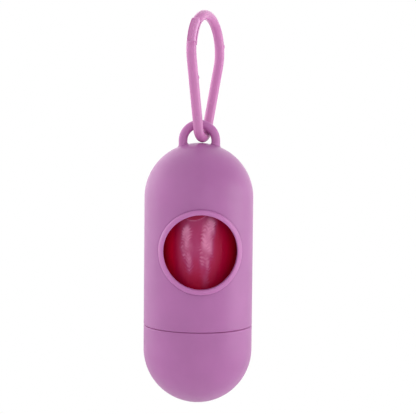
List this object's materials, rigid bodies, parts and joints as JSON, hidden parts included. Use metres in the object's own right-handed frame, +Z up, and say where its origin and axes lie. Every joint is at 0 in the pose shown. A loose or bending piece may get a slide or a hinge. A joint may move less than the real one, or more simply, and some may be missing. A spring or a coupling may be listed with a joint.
{
  "type": "pet waste bag dispenser",
  "caption": "Capsule dispenser for a roll of pet waste bags: round outlet window, screw cap at the base, moulded eye and snap hook on top.",
  "frame": {"origin": "highest point inside the hook's crown, where a leash or ring bears", "axes": "+Z up along the case's axis, the bag window faces -Y, the eye's bar runs along X"},
  "size_m": [0.037, 0.0379, 0.1333],
  "materials": {
    "case": "satin moulded plastic",
    "cap": "satin moulded plastic",
    "hook": "satin moulded plastic, a little glossier than the case",
    "card": "plain cardboard tube",
    "film": "thin glossy film, wound and wrinkled"
  },
  "bodies": {
    "hook": {"snap_hook": "hook"},
    "gate": {"hook_gate": "hook"},
    "case": {"case_body": "case"},
    "core": {"roll_core": "card"},
    "cap": {"end_cap": "cap"},
    "roll": {"bag_01": "film", "bag_02": "film", "bag_03": "film", "bag_04": "film", "bag_05": "film", "bag_06": "film", "bag_07": "film", "bag_08": "film", "bag_09": "film", "bag_10": "film", "bag_11": "film", "bag_12": "film", "bag_13": "film", "bag_14": "film", "bag_15": "film"}
  },
  "joints": [
    {"name": "gate_flex", "type": "hinge", "parent": "hook", "child": "gate", "pos_m": [-0.00333, -0.00683, -0.02975], "axis": [0.8988, -0.4384, 0], "range_deg": [0, 20], "stiffness_Nm_per_rad": 0.35},
    {"name": "case_swing", "type": "hinge", "parent": "hook", "child": "case", "pos_m": [-0.00087, -0.00178, -0.03581], "axis": [0.8988, -0.4384, 0], "range_deg": [-65, 65]},
    {"name": "cap_travel", "type": "slide", "parent": "case", "child": "core", "axis": [0, 0, -1], "range_m": [0, 0.0075]},
    {"name": "cap_turn", "type": "hinge", "parent": "core", "child": "cap", "pos_m": [-0.00197, -0.00178, -0.10334], "axis": [0, 0, -1], "range_deg": [0, 540]},
    {"name": "roll_spin", "type": "hinge", "parent": "core", "child": "roll", "pos_m": [-0.00197, -0.00178, -0.10334], "axis": [0, 0, 1], "continuous": true}
  ],
  "couplings": [
    {"joint": "cap_turn", "follows": "cap_travel", "rad_per_m": 1256.6}
  ]
}
